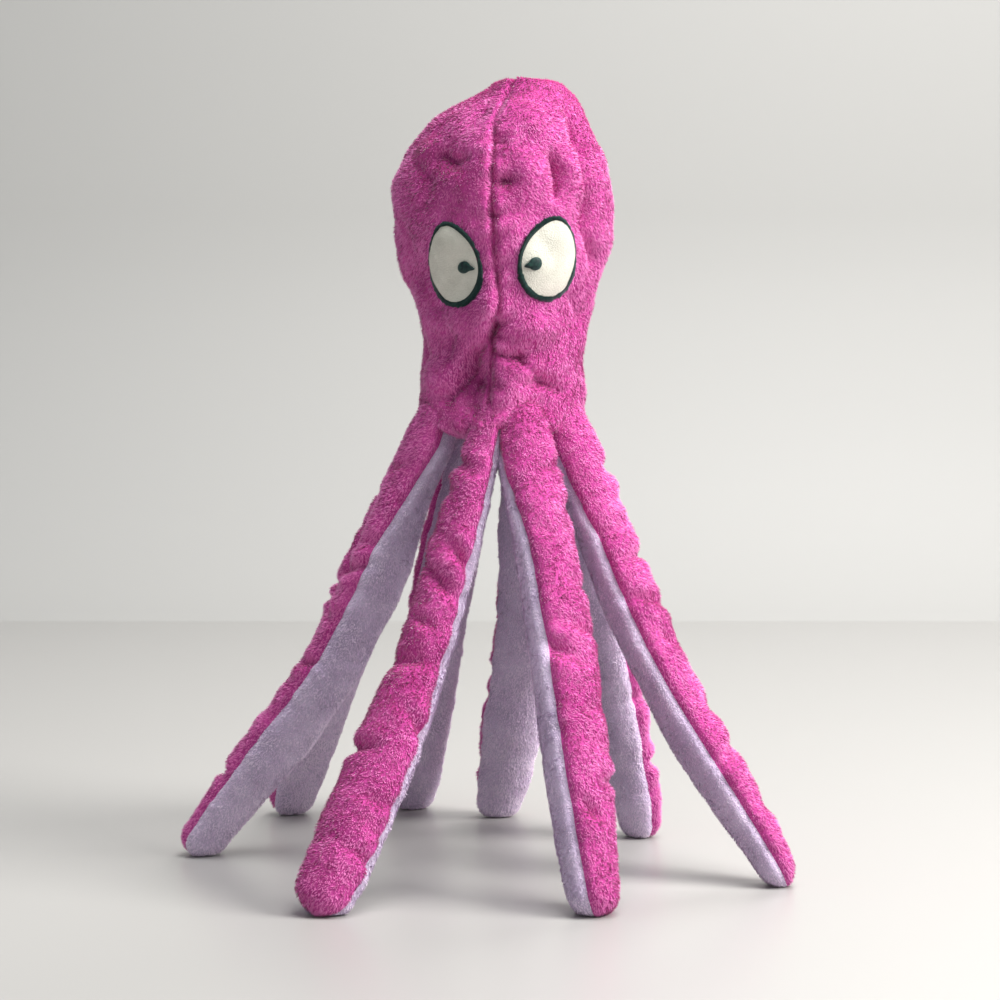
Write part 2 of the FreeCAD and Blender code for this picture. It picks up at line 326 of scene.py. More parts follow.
def fabric_material(name, dark, light, patch_scale, fibre_scale, bump, sheen):
    """Knitted backing: soft patches of shade, fine fibres in the colour and in the bump."""
    material = new_material(name, light, 0.9, sheen, light)
    tree = material.node_tree
    shader = tree.nodes["Principled BSDF"]
    place = add_node(material, "ShaderNodeTexCoord")
    patches = add_node(material, "ShaderNodeTexNoise")
    patches.inputs["Scale"].default_value = patch_scale
    patches.inputs["Detail"].default_value = 3.0
    fibres = add_node(material, "ShaderNodeTexNoise")
    fibres.inputs["Scale"].default_value = fibre_scale
    fibres.inputs["Detail"].default_value = 4.0
    fibres.inputs["Distortion"].default_value = 0.6
    blend = add_node(material, "ShaderNodeMath", operation="MULTIPLY_ADD")
    blend.inputs[1].default_value = 0.55
    ramp = add_node(material, "ShaderNodeValToRGB")
    ramp.color_ramp.elements[0].position = 0.35
    ramp.color_ramp.elements[0].color = (*dark, 1.0)
    ramp.color_ramp.elements[1].position = 0.75
    ramp.color_ramp.elements[1].color = (*light, 1.0)
    lift = add_node(material, "ShaderNodeBump")
    lift.inputs["Strength"].default_value = bump
    lift.inputs["Distance"].default_value = 0.6 * MM
    tree.links.new(place.outputs["Object"], patches.inputs["Vector"])
    tree.links.new(place.outputs["Object"], fibres.inputs["Vector"])
    tree.links.new(fibres.outputs["Fac"], blend.inputs[0])
    tree.links.new(patches.outputs["Fac"], blend.inputs[2])
    scaled = add_node(material, "ShaderNodeMath", operation="MULTIPLY")
    scaled.inputs[1].default_value = 0.65
    tree.links.new(blend.outputs[0], scaled.inputs[0])
    tree.links.new(scaled.outputs[0], ramp.inputs["Fac"])
    tree.links.new(ramp.outputs["Color"], shader.inputs["Base Color"])
    tree.links.new(fibres.outputs["Fac"], lift.inputs["Height"])
    tree.links.new(lift.outputs["Normal"], shader.inputs["Normal"])
    return material


def pile_shades(name, colors, sheen):
    """Plain tuft colours from dark to light; the pattern is in which tuft has which."""
    return [
        new_material(f"{name}_{number}", color, 0.75, sheen, (1.0, 0.86, 0.96))
        for number, color in enumerate(colors)
    ]


# Painted shade: the backing colours are darker than the pile's, to stand for the shade in the gaps
# between the tufts.
MAGENTA_BACKING_PAINTED_SHADE = fabric_material(
    "magenta_plush_backing_painted_shade", (0.42, 0.040, 0.23), (0.70, 0.10, 0.41), 60.0, 1500.0, 0.8, 0.3)
LILAC_BACKING_PAINTED_SHADE = fabric_material(
    "lilac_plush_backing_painted_shade", (0.45, 0.36, 0.52), (0.72, 0.62, 0.79), 60.0, 1700.0, 0.8, 0.3)
STUFFING_FIBRE = fabric_material(
    "polyester_stuffing", (0.62, 0.62, 0.60), (0.88, 0.88, 0.86), 140.0, 900.0, 0.9, 0.4)
MAGENTA_TUFTS = pile_shades("magenta_pile", (
    (0.71, 0.145, 0.43), (0.77, 0.175, 0.49), (0.82, 0.205, 0.54), (0.87, 0.250, 0.60)), 0.6)
LILAC_TUFTS = pile_shades("lilac_pile", (
    (0.72, 0.56, 0.77), (0.79, 0.64, 0.83), (0.85, 0.71, 0.88), (0.91, 0.79, 0.93)), 0.5)


# ================================ meshes =======================================================
def make_object(name, vertices, faces, material):
    mesh = bpy.data.meshes.new(name)
    mesh.from_pydata([tuple(v) for v in vertices], [], faces)
    mesh.validate()
    mesh.materials.append(material)
    mesh.polygons.foreach_set("use_smooth", [True] * len(mesh.polygons))
    mesh.set_sharp_from_angle(angle=CUT_EDGE_ANGLE)
    piece = bpy.data.objects.new(name, mesh)
    bpy.context.scene.collection.objects.link(piece)
    return piece


def quads(rows, columns, start, wrap=False):
    """Faces of a grid of rows by columns whose first vertex has the number start."""
    faces = []
    last = columns if wrap else columns - 1
    for row in range(rows - 1):
        for column in range(last):
            here = start + row * columns + column
            beside = start + row * columns + (column + 1) % columns
            faces.append((here, beside, beside + columns, here + columns))
    return faces


def shell(name, outer, normals, material):
    """A closed sheet of fabric: an outer grid, the same grid set in, and a rim between them."""
    rows, columns, _ = outer.shape
    inner = outer - normals * SKIN_THICKNESS
    count = rows * columns
    vertices = np.concatenate([outer.reshape(-1, 3), inner.reshape(-1, 3)])
    faces = quads(rows, columns, 0)
    faces += [tuple(reversed(face)) for face in quads(rows, columns, count)]
    border = [row * columns for row in range(rows)]
    border += [(rows - 1) * columns + column for column in range(1, columns)]
    border += [row * columns + columns - 1 for row in range(rows - 2, -1, -1)]
    border += list(range(columns - 2, 0, -1))
    for a, b in zip(border, border[1:] + border[:1]):
        faces.append((b, a, a + count, b + count))
    return make_object(name, vertices, faces, material)


def tube(name, points, material):
    """A closed body from a grid whose columns go all the way round, with both ends capped."""
    rows, columns, _ = points.shape
    vertices = points.reshape(-1, 3)
    faces = quads(rows, columns, 0, wrap=True)
    faces.append(tuple(reversed(range(columns))))
    faces.append(tuple(range((rows - 1) * columns, rows * columns)))
    return make_object(name, vertices, faces, material)


def beside_seam(outer):
    """Share of the full pile length: the pile is caught in the seams at a grid's side edges."""
    widths = np.linalg.norm(np.diff(outer, axis=1), axis=-1)
    from_left = np.concatenate([np.zeros((len(outer), 1)), np.cumsum(widths, axis=1)], axis=1)
    from_edge = np.minimum(from_left, from_left[:, -1:] - from_left)
    return SEAM_PILE + (1.0 - SEAM_PILE) * smooth(0.0, SEAM_PILE_REACH, from_edge)


def scatter(outer):
    """Random places on a grid, evenly by area: a function that reads any field of it there."""
    one_way = outer[1:, 1:] - outer[:-1, :-1]
    other_way = outer[1:, :-1] - outer[:-1, 1:]
    area = np.linalg.norm(np.cross(one_way, other_way), axis=-1) / 2.0
    columns = area.shape[1]
    total = np.cumsum(area.ravel())
    count = int(total[-1] * PILE_DENSITY)
    cell = np.searchsorted(total, RNG.random(count) * total[-1])
    cell = np.minimum(cell, area.size - 1)
    row, column = cell // columns, cell % columns
    u, v = RNG.random(count)[:, None], RNG.random(count)[:, None]

    def spread(field):
        low = field[row, column] * (1 - u) + field[row, column + 1] * u
        high = field[row + 1, column] * (1 - u) + field[row + 1, column + 1] * u
        return low * (1 - v) + high * v

    return spread


def tuft_mesh(name, vertices, shading, shades, index):
    """Loose triangles, each with the way it is shaded and the number of its shade."""
    count = len(index)
    mesh = bpy.data.meshes.new(name)
    mesh.vertices.add(3 * count)
    mesh.vertices.foreach_set("co", vertices.astype(np.float32).ravel())
    mesh.loops.add(3 * count)
    mesh.loops.foreach_set("vertex_index", np.arange(3 * count, dtype=np.int32))
    mesh.polygons.add(count)
    mesh.polygons.foreach_set("loop_start", np.arange(0, 3 * count, 3, dtype=np.int32))
    for material in shades:
        mesh.materials.append(material)
    mesh.polygons.foreach_set("material_index", index.astype(np.int32))
    mesh.update(calc_edges=True)
    mesh.normals_split_custom_set_from_vertices(np.repeat(shading, 3, axis=0))
    return mesh


def tufts(name, outer, normals, nap, length, shades, keep=None):
    """Pile: one thin three-cornered tuft for each strand, spread over a grid by area.

    nap is the way the pile lies at each grid point. Neighbouring tufts lean together in
    clumps, which is what makes short plush look brushed.
    """
    spread = scatter(outer)
    base = spread(outer)
    out = unit(spread(normals))
    way = unit(spread(nap))
    short = spread(beside_seam(outer)[..., None])
    if keep is not None:
        chosen = keep(base)
        base, out, way, short = base[chosen], out[chosen], way[chosen], short[chosen]
    count = len(base)
    clump = 0.6 * noise_vector(base, 3.0 * MM, 11) + 0.5 * noise_vector(base, 1.3 * MM, 23)
    loose = RNG.normal(size=(count, 3))
    direction = unit(TUFT_OUT * out + TUFT_NAP * way + TUFT_CLUMP * clump + TUFT_LOOSE * loose)
    rise = np.sum(direction * out, axis=-1, keepdims=True)
    direction = unit(direction + out * np.maximum(TUFT_LEAST_OUT - rise, 0.0))
    flat = unit(np.cross(direction, out + 0.35 * loose))
    shade_field = noise(base, 7.0 * MM, 31) * 0.9 + noise(base, 1.6 * MM, 37) * 1.3
    uneven = 0.3 * RNG.random((count, 1)) + 0.16 * noise(base, 2.0 * MM, 41)[:, None]
    reach = length * short * (0.78 + uneven)
    half = TUFT_HALF_WIDTH * (0.8 + 0.5 * RNG.random((count, 1)))
    left = base - flat * half - out * TUFT_ROOT
    right = base + flat * half - out * TUFT_ROOT
    tip = base + direction * reach
    tip[:, 2] = np.maximum(tip[:, 2], 0.2 * MM)
    faces_out = np.sum(np.cross(right - left, tip - left) * out, axis=-1) > 0
    faces_out = faces_out[:, None]
    left, right = np.where(faces_out, left, right), np.where(faces_out, right, left)
    vertices = np.stack([left, right, tip], axis=1).reshape(-1, 3)
    shade = shade_field + 0.6 * RNG.normal(size=count)
    index = np.digitize(shade, SHADE_STEPS)
    facing = unit(np.cross(right - left, tip - left))
    shading = unit(TUFT_SOFTNESS * out + (1.0 - TUFT_SOFTNESS) * facing)
    piece = bpy.data.objects.new(name, tuft_mesh(name, vertices, shading, shades, index))
    bpy.context.scene.collection.objects.link(piece)
    return piece


# ================================ head =========================================================
def seam_shift(height):
    return np.interp(height, SEAM_HEIGHTS, SEAM_WANDER)


def section_at(height):
    """Middle and half width of the head bag at a height, smoothly between the listed ones."""
    heights = HEAD_SECTIONS[:, 0]
    fine = np.linspace(heights[0], heights[-1], 400)
    kernel = np.hanning(31)
    kernel /= kernel.sum()
    values = []
    for column in (1, 2):
        listed = np.interp(fine, heights, HEAD_SECTIONS[:, column])
        padded = np.pad(listed, 15, mode="reflect", reflect_type="odd")
        values.append(np.interp(height, fine, np.convolve(padded, kernel, mode="valid")))
    return values


def distance_to_path(x, z, path):
    best = np.full(x.shape, 1.0)
    for (x0, z0), (x1, z1) in zip(path, path[1:]):
        dx, dz = x1 - x0, z1 - z0
        t = np.clip(((x - x0) * dx + (z - z0) * dz) / (dx * dx + dz * dz), 0.0, 1.0)
        best = np.minimum(best, np.hypot(x - x0 - t * dx, z - z0 - t * dz))
    return best


def head_relief(points, angle):
    """How far the fabric stands out from the plain bag, from its dents, folds and puckers."""
    x = points[..., 0] - BODY_X
    z = points[..., 2]
    front = smooth(0.05, 0.45, np.cos(angle))
    relief = lumps(points, HEAD_LUMPS)
    for features, sign in ((DENTS, -1.0), (BULGES, 1.0)):
        for mid_x, mid_z, reach_x, reach_z, depth in features:
            across = (x - mid_x * MM) / (reach_x * MM)
            up = (z - mid_z * MM) / (reach_z * MM)
            relief += sign * front * depth * MM * np.exp(-(across**2 + up**2))
    for path, depth, reach in FOLDS:
        line = [(px * MM, pz * MM) for px, pz in path]
        gap = distance_to_path(x, z, line) / (reach * MM)
        relief -= front * depth * MM * np.exp(-(gap**1.5))
    return relief


def seam_relief(points, gap):
    """The sewn seam draws a groove, with small puckers beside it. gap is the way to the seam."""
    z = points[..., 2]
    groove = SEAM_GROOVE * np.exp(-((gap / SEAM_REACH) ** 2))
    pucker = SEAM_PUCKER * np.sin(z / (1.5 * MM) + 4.0 * noise(points, 14 * MM, 13))
    near = np.exp(-((gap / (5.0 * MM)) ** 2)) - np.exp(-((gap / (1.3 * MM)) ** 2))
    return -groove + pucker * near


def bag_points(heights, angle, middle, half):
    """Fabric of the bag at each height and angle round it, and the way that it faces."""
    shift = np.arcsin(np.clip((seam_shift(heights) - middle) / half, -0.6, 0.6))
    turn = angle + shift * np.cos(angle / 2) ** 2
    keel = KEEL * np.maximum(0.0, 1.0 - np.abs(angle) / KEEL_REACH)
    fullness = 1.0 + HEAD_FULLNESS * np.cos(4 * turn) + keel
    x = BODY_X + middle + half * fullness * np.sin(turn)
    y = BODY_Y - half * fullness * HEAD_DEPTH_RATIO * np.cos(turn)
    plain = np.stack([x, y, heights + np.zeros_like(x)], axis=-1)
    out = np.stack([np.sin(turn), -np.cos(turn), np.zeros_like(turn)], axis=-1)
    steep = smooth(306 * MM, 320 * MM, plain[..., 2:])
    out = unit(out * (1.0 - 0.85 * steep) + UP * steep)
    gap = np.minimum(np.abs(angle), math.pi - np.abs(angle)) * np.maximum(half, 6 * MM)
    fade = smooth(0.0, 24.0 * MM, half)
    relief = (head_relief(plain, turn) + seam_relief(plain, gap)) * fade
    return plain + out * relief[..., None], out


def side_angles(side, columns):
    """Angles from the front seam to the back seam, closer together beside the seams."""
    share = np.linspace(0.0, 1.0, columns)
    return math.pi * (share - 0.1 * np.sin(2 * math.pi * share)) * side


def head_grid(side):
    """Outer surface of one head panel; side is -1 on the left and +1 on the right."""
    top = HEAD_SECTIONS[-1, 0]
    wall = np.linspace(HEAD_SPLIT_Z, top, HEAD_ROWS - HEAD_CAP_ROWS)
    cap_turn = np.linspace(0.0, math.pi / 2, HEAD_CAP_ROWS + 1)[1:]
    rise = CROWN_Z - 1.0 * MM - top
    heights = np.concatenate([wall, top + rise * np.sin(cap_turn)])
    middle, half = section_at(np.minimum(heights, top))
    half[len(wall):] *= np.cos(cap_turn)
    half = np.maximum(half, CROWN_RING)
    angle = np.broadcast_to(side_angles(side, HEAD_COLUMNS), (HEAD_ROWS, HEAD_COLUMNS))
    points, out = bag_points(heights[:, None], angle, middle[:, None], half[:, None])
    if side < 0:
        points, out = points[:, ::-1], out[:, ::-1]
    return points, head_normals(points, out)


def head_normals(points, out):
    """Normals of the fabric, taken from the plain bag where the rings get tiny at the crown."""
    crown = smooth(317.5 * MM, 319.0 * MM, points[..., 2:])
    return unit(grid_normals(points) * (1.0 - crown) + out * crown)


def nap_down(points, normals):
    down = -UP - normals * np.sum(-UP * normals, axis=-1, keepdims=True)
    swirl = noise_vector(points, 30 * MM, 51)
    return unit(down + 0.7 * swirl)


# ================================ eyes =========================================================
def eye_sway(up):
    """How far an eye's outline is moved outward at a height; up is -1 at its foot, 1 on top."""
    return EYE_LEAN * up + EYE_BOW * up**2


def eye_outline(turn, shape, inset):
    """A point of the egg-shaped outline; turn is 0 on the inner side and grows towards the top."""
    direction, mid_x, mid_z, half_width = shape
    up = np.sin(turn)
    inward = np.cos(turn)
    low = smooth(0.3, -1.0, up)
    inner = smooth(-0.4, 1.0, inward)
    plain, more_top, more_inner, more_low = RIM_WIDTHS
    rim = (plain + more_top * smooth(0.4, 1.0, up) + more_inner * inner + more_low * low) * MM
    width = half_width - inset * rim
    height = EYE_HALF_HEIGHT - inset * rim
    egg = 1.0 - EYE_EGG * up
    x = mid_x + direction * (eye_sway(up) - width * egg * inward)
    z = mid_z + height * up
    return x, z


def face_surface():
    """Something to drop points on to the front of the head."""
    vertices = []
    faces = []
    for side in (-1, 1):
        grid, _ = head_grid(side)
        faces += quads(grid.shape[0], grid.shape[1], len(vertices))
        vertices += [tuple(v) for v in grid.reshape(-1, 3)]
    return BVHTree.FromPolygons(vertices, faces)


FACE = face_surface()


def on_face(x, z, lift):
    """Points on the front of the head at x from its middle and height z, lifted off it."""
    points = np.empty(x.shape + (3,))
    for place in np.ndindex(x.shape):
        start = Vector((BODY_X + x[place], -0.2, z[place]))
        hit, normal, _, _ = FACE.ray_cast(start, Vector((0, 1, 0)))
        normal = normal if normal.y < 0 else -normal
        points[place] = hit + normal * lift[place]
    return points


def smooth_rows(points, rounds):
    """Evens out a closed ring grid, so that a stitched patch lies flat over small wrinkles."""
    for _ in range(rounds):
        inner = (np.roll(points, 1, 1) + np.roll(points, -1, 1) + points * 2) / 4
        inner[1:-1] = (inner[:-2] + inner[2:] + 2 * inner[1:-1]) / 4
        points = inner
    return points


def eye_thread_material():
    """Dark satin stitch: colour shifts a little from green to blue, with threads in the bump."""
    material = new_material("dark_eye_thread", (0.006, 0.020, 0.020), 0.5, 0.25, (0.5, 0.8, 0.75))
    tree = material.node_tree
    shader = tree.nodes["Principled BSDF"]
    place = add_node(material, "ShaderNodeTexCoord")
    threads = add_node(material, "ShaderNodeTexNoise")
    threads.inputs["Scale"].default_value = 900.0
    ramp = add_node(material, "ShaderNodeValToRGB")
    ramp.color_ramp.elements[0].color = (0.004, 0.012, 0.016, 1.0)
    ramp.color_ramp.elements[1].color = (0.012, 0.050, 0.040, 1.0)
    ramp.color_ramp.elements[0].position = 0.35
    ramp.color_ramp.elements[1].position = 0.7
    lift = add_node(material, "ShaderNodeBump")
    lift.inputs["Strength"].default_value = 0.5
    lift.inputs["Distance"].default_value = 0.2 * MM
    tree.links.new(place.outputs["Object"], threads.inputs["Vector"])
    tree.links.new(threads.outputs["Fac"], ramp.inputs["Fac"])
    tree.links.new(ramp.outputs["Color"], shader.inputs["Base Color"])
    tree.links.new(threads.outputs["Fac"], lift.inputs["Height"])
    tree.links.new(lift.outputs["Normal"], shader.inputs["Normal"])
    return material


EYE_THREAD = eye_thread_material()
EYE_FELT = fabric_material(
    "cream_eye_felt", (0.62, 0.61, 0.53), (0.80, 0.79, 0.70), 160.0, 1900.0, 0.9, 0.2)


def with_back(face, thickness):
    """The rings of a patch's front, then the same rings again in reverse as its back."""
    back = face.copy()
    back[..., 1] += thickness
    return np.concatenate([face, back[::-1]])


def eye_white(side, shape):
    turn = np.linspace(0.0, 2 * math.pi, 120, endpoint=False)
    edge_x, edge_z = eye_outline(turn, shape, 0.75)
    mid_x, mid_z = edge_x.mean(), edge_z.mean()
    shares = np.concatenate([np.linspace(0.04, 0.9, 16), [0.96, 1.0]])
    x = mid_x + (edge_x - mid_x)[None, :] * shares[:, None]
    z = mid_z + (edge_z - mid_z)[None, :] * shares[:, None]
    dome = 1.6 * MM - 0.9 * MM * shares[:, None] ** 3 + np.zeros_like(x)
    face = smooth_rows(on_face(x, z, dome), 6)
    face[..., 1] -= 0.5 * MM
    return tube(f"eye_{side}_felt_patch", with_back(face, PATCH_THICKNESS), EYE_FELT)


def stitched_ring(side, shape):
    """Satin stitch round the eye: a raised band whose threads run across it."""
    steps = RIM_STITCHES * 3
    turn = np.linspace(0.0, 2 * math.pi, steps, endpoint=False)
    outer_x, outer_z = eye_outline(turn, shape, 0.0)
    inner_x, inner_z = eye_outline(turn, shape, 1.0)
    thread = np.cos(np.linspace(0.0, 2 * math.pi * RIM_STITCHES, steps, endpoint=False))
    uneven = RNG.normal(size=RIM_STITCHES // 2)
    place = np.arange(steps) / steps * len(uneven)
    ragged = np.interp(place, np.arange(len(uneven) + 1), [*uneven, uneven[0]])
    ragged = STITCH_RAGGED * ragged
    reach_x = outer_x - inner_x
    reach_z = outer_z - inner_z
    reach = np.hypot(reach_x, reach_z)
    rings = []
    for share, height in RIM_PROFILE:
        edge = (share - 0.5) * 2 * ragged / reach
        x = inner_x + reach_x * (share + edge)
        z = inner_z + reach_z * (share + edge)
        rings.append((x, z, height * MM + STITCH_HEIGHT * thread * (height > 0)))
    x, z, lift = np.array(rings).transpose(1, 0, 2)
    flat = smooth_rows(on_face(x, z, np.zeros_like(x)), 8)
    top = flat.copy()
    top[..., 1] -= lift + 0.55 * MM
    top[0, :, 1] = flat[0, :, 1] + 0.9 * MM
    top[-1, :, 1] = flat[-1, :, 1] + 0.9 * MM
    rows, columns, _ = top.shape
    faces = [
        tuple(vertex % (rows * columns) for vertex in face)
        for face in quads(rows + 1, columns, 0, wrap=True)
    ]
    return make_object(
        f"eye_{side}_stitched_rim", top.reshape(-1, 3), faces, EYE_THREAD)


def pupil(side, shape):
    """A round stitched pupil with a point towards the middle of the face."""
    direction = shape[0]
    centre_x = direction * PUPIL_X
    centre_z = PUPIL_Z[side]
    turn = np.linspace(0.0, 2 * math.pi, 96, endpoint=False)
    point = np.exp(-((np.angle(np.exp(1j * (turn + 0.22)))) / 0.26) ** 2)
    reach = PUPIL_RADIUS * (1.0 + 0.75 * point)
    edge_x = -direction * reach * np.cos(turn)
    edge_z = reach * np.sin(turn)
    shares = np.concatenate([np.linspace(0.05, 0.85, 9), [0.95, 1.0]])
    x = centre_x + edge_x[None, :] * shares[:, None]
    z = centre_z + edge_z[None, :] * shares[:, None]
    thread = 0.05 * MM * np.cos(x / (0.07 * MM))
    dome = 0.95 * MM * np.sqrt(np.maximum(0.0, 1.0 - shares[:, None] ** 3)) + thread
    face = smooth_rows(on_face(x, z, np.full_like(x, 1.9 * MM)), 6)
    face[..., 1] -= dome + 0.2 * MM
    body = with_back(face, PUPIL_THICKNESS)
    return tube(f"eye_{side}_stitched_pupil", body, EYE_THREAD)


def outside_eyes(points):
    """Which points of the head aren't under an eye, so that pile can grow there."""
    keep = np.ones(len(points), bool)
    for shape in EYE_SHAPES.values():
        direction, mid_x, mid_z, half_width = shape
        up = (points[:, 2] - mid_z) / EYE_HALF_HEIGHT
        lean = eye_sway(np.clip(up, -1, 1))
        egg = 1.0 - EYE_EGG * np.clip(up, -1, 1)
        across = (points[:, 0] - BODY_X - mid_x - direction * lean) / (half_width * egg)
        keep &= (across**2 + up**2 > 0.93) | (points[:, 1] > BODY_Y)
    return keep


def build_head():
    rings = []
    for side, name in ((-1, "left"), (1, "right")):
        grid, normals = head_grid(side)
        skin = shell(f"head_{name}_panel_skin", grid, normals, MAGENTA_BACKING_PAINTED_SHADE)
        pile = tufts(
            f"head_{name}_panel_pile", grid, normals, nap_down(grid, normals), MAGENTA_PILE,
            MAGENTA_TUFTS, keep=outside_eyes)
        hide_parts(f"head_panel_{name}")
        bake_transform(skin)
        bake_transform(pile)
        inside = grid - normals * (SKIN_THICKNESS + STUFFING_INSET)
        rings.append(inside)
    loop = np.concatenate([rings[1], rings[0][:, 1:-1]], axis=1)
    stuffing = tube("head_stuffing", loop[::-1][2:], STUFFING_FIBRE)
    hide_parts("head_filling")
    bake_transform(stuffing)
    for name, shape in EYE_SHAPES.items():
        for part, build in (("white", eye_white), ("rim", stitched_ring), ("pupil", pupil)):
            piece = build(name, shape)
            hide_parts(f"eye_{part}_{name}")
            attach(piece, "head")


# ================================ neck =========================================================
def neck_grid():
    """The bottom of the bag below the head panels, gathered in underneath to the base panel."""
    share = np.linspace(0.0, 1.0, NECK_ROWS)[:, None]
    wall_end = 0.5
    wall = np.minimum(share / wall_end, 1.0)
    under = np.clip((share - wall_end) / (1.0 - wall_end), 0.0, 1.0)
    edge_z = NECK_BOTTOM_Z - 3.0 * MM
    heights = HEAD_SPLIT_Z + (edge_z - HEAD_SPLIT_Z) * wall - 5.0 * MM * np.sin(under * math.pi / 2)
    middle, half = section_at(heights)
    half = half - (half - NECK_OPENING) * under**1.6
    right = side_angles(1, NECK_COLUMNS // 2)
    angle = np.concatenate([-right[::-1], right[1:]])
    angle = np.broadcast_to(angle, (NECK_ROWS, len(angle)))
    points, out = bag_points(heights, angle, middle, half)
    gathers = np.cos(NECK_GATHERS * angle + 2.5 * noise(points, 15 * MM, 61))
    points = points + out * (NECK_GATHER_DEPTH * gathers * smooth(0.3, 1.0, wall))[..., None]
    points = points[::-1]
    points[:, -1] = points[:, 0]
    return points


def build_neck():
    points = neck_grid()
    normals = grid_normals(points)
    skin = shell("neck_skin", points, normals, MAGENTA_BACKING_PAINTED_SHADE)
    pile = tufts(
        "neck_pile", points, normals, nap_down(points, normals), MAGENTA_PILE,
        MAGENTA_TUFTS)
    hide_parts("neck_sleeve", "base_panel")
    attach(skin, "base")
    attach(pile, "base")


# ================================ tentacles ====================================================
def tip_centre(number, knee):
    """Centre of the rounded tip, from the far end of the stuffing inside it."""
    filling = frame["nodes"][f"tentacle_{number}_tip_filling"].data
    points = np.array([v.co for v in filling.vertices])
    away = points - knee
    far = points[np.argmax(np.linalg.norm(away, axis=1))]
    return far - unit(far - knee) * 7.5 * MM


def centre_line(root, knee, tip):
    """Points along a smooth line through root, knee and tip, and how far along each one is."""
    upper = np.linalg.norm(knee - root)
    lower = np.linalg.norm(tip - knee)
    through = unit(tip - root)
    leave = unit(knee - root)
    arrive = unit(tip - knee)

    def hermite(a, b, ta, tb, t):
        t = t[:, None]
        return (
            (2 * t**3 - 3 * t**2 + 1) * a + (t**3 - 2 * t**2 + t) * ta
            + (3 * t**2 - 2 * t**3) * b + (t**3 - t**2) * tb
        )

    t = np.linspace(0.0, 1.0, 121)
    first = hermite(root, knee, leave * upper, through * upper, t)
    second = hermite(knee, tip, through * lower, arrive * lower, t)
    points = np.concatenate([first, second[1:]])
    steps = np.linalg.norm(np.diff(points, axis=0), axis=1)
    along = np.concatenate([[0.0], np.cumsum(steps)])
    return points, along, along[120]


def line_at(points, along, distance):
    """Points and directions on the line, carried on straight past both ends."""
    inside = np.clip(distance, 0.0, along[-1])
    place = np.stack([np.interp(inside, along, points[:, axis]) for axis in range(3)], axis=-1)
    ahead = np.clip(inside + 1.5 * MM, 0.0, along[-1])
    behind = np.clip(inside - 1.5 * MM, 0.0, along[-1])
    after = np.stack([np.interp(ahead, along, points[:, axis]) for axis in range(3)], axis=-1)
    before = np.stack([np.interp(behind, along, points[:, axis]) for axis in range(3)], axis=-1)
    direction = unit(after - before)
    return place + direction * (distance - inside)[:, None], direction


def thickness_at(distance, knee_at, length):
    """Half thickness of a tentacle at a distance from its root, with the round tip."""
    stations = [(d * MM, r * MM) for d, r in UPPER_THICKNESS]
    stations.append((knee_at, KNEE_THICKNESS * MM))
    stations += [(knee_at + d * MM, r * MM) for d, r in LOWER_THICKNESS]
    stations.append((length, TIP_THICKNESS * MM))
    stations = np.array(sorted(stations))
    body = np.interp(distance, stations[:, 0], stations[:, 1])
    past = np.clip((distance - length) / (TIP_THICKNESS * MM), 0.0, 1.0)
    before = np.clip((-9 * MM - distance) / (8 * MM), 0.0, 1.0)
    return body * np.sqrt((1.0 - past**2) * (1.0 - before**2))


def fold_list(number, length):
    """Cross folds of one tentacle: place along it, middle and reach round it, slant, depth."""
    dice = np.random.default_rng(900 + number)
    folds = []
    place = 16.0 * MM
    while place < length - 6 * MM:
        folds.append((
            place, dice.uniform(*FOLD_MIDDLE), dice.uniform(*FOLD_REACH),
            dice.uniform(*FOLD_SLANT) * MM, dice.uniform(*FOLD_DEPTH) * MM,
            dice.uniform(*FOLD_WIDTH) * MM,
        ))
        place += dice.uniform(*FOLD_SPACING) * MM
    return folds


def fold_relief(folds, distances, turn):
    relief = np.zeros((len(distances), turn.shape[1]))
    for place, middle, reach, slant, depth, width in folds:
        gap = (distances[:, None] - place - slant * turn) / width
        around = np.angle(np.exp(1j * (turn - middle))) / reach
        relief -= depth * np.exp(-(gap**2) - around**2)
        relief += 0.22 * depth * np.exp(-((np.abs(gap) - 2.2) ** 2) - around**2)
    return relief


def tentacle_relief(number, plain, distances, turn, half, length):
    """How far the fabric stands out: puckers, cross folds, uneven stuffing and the side seams."""
    seed = 100 + number * 7
    is_back = smooth(-0.05, 0.15, np.cos(turn))
    ends = smooth(4 * MM, 18 * MM, distances)[:, None]
    ends = ends * smooth(0.0, 14 * MM, length + 4 * MM - distances)[:, None]
    wave = distances[:, None] / PUCKER_PITCH + 0.9 * noise(plain, 28 * MM, seed) + 0.15 * turn
    pucker = np.abs(np.sin(math.pi * wave)) ** 0.8 - 0.58
    strength = 0.5 + 0.9 * noise(plain, 24 * MM, seed + 1) + 0.3 * np.abs(np.sin(turn))
    relief = PUCKER_DEPTH * pucker * np.clip(strength, 0.1, 1.2) * is_back * ends
    folds = fold_relief(fold_list(number, length), distances, turn)
    relief += folds * (0.25 + 0.75 * is_back) * ends
    relief += lumps(plain, TENTACLE_LUMPS, seed)
    seam_gap = np.abs(np.abs(turn) - math.pi / 2) * half[:, None]
    relief -= SIDE_SEAM_DEPTH * np.exp(-((seam_gap / SIDE_SEAM_REACH) ** 2))
    nip = np.sin(distances[:, None] / (2.3 * MM) + 3 * noise(plain, 9 * MM, seed + 4))
    relief += SIDE_SEAM_NIP * nip * np.exp(-((seam_gap / (5 * MM)) ** 2)) * ends
    return relief * np.minimum(1.0, half / (5 * MM))[:, None]


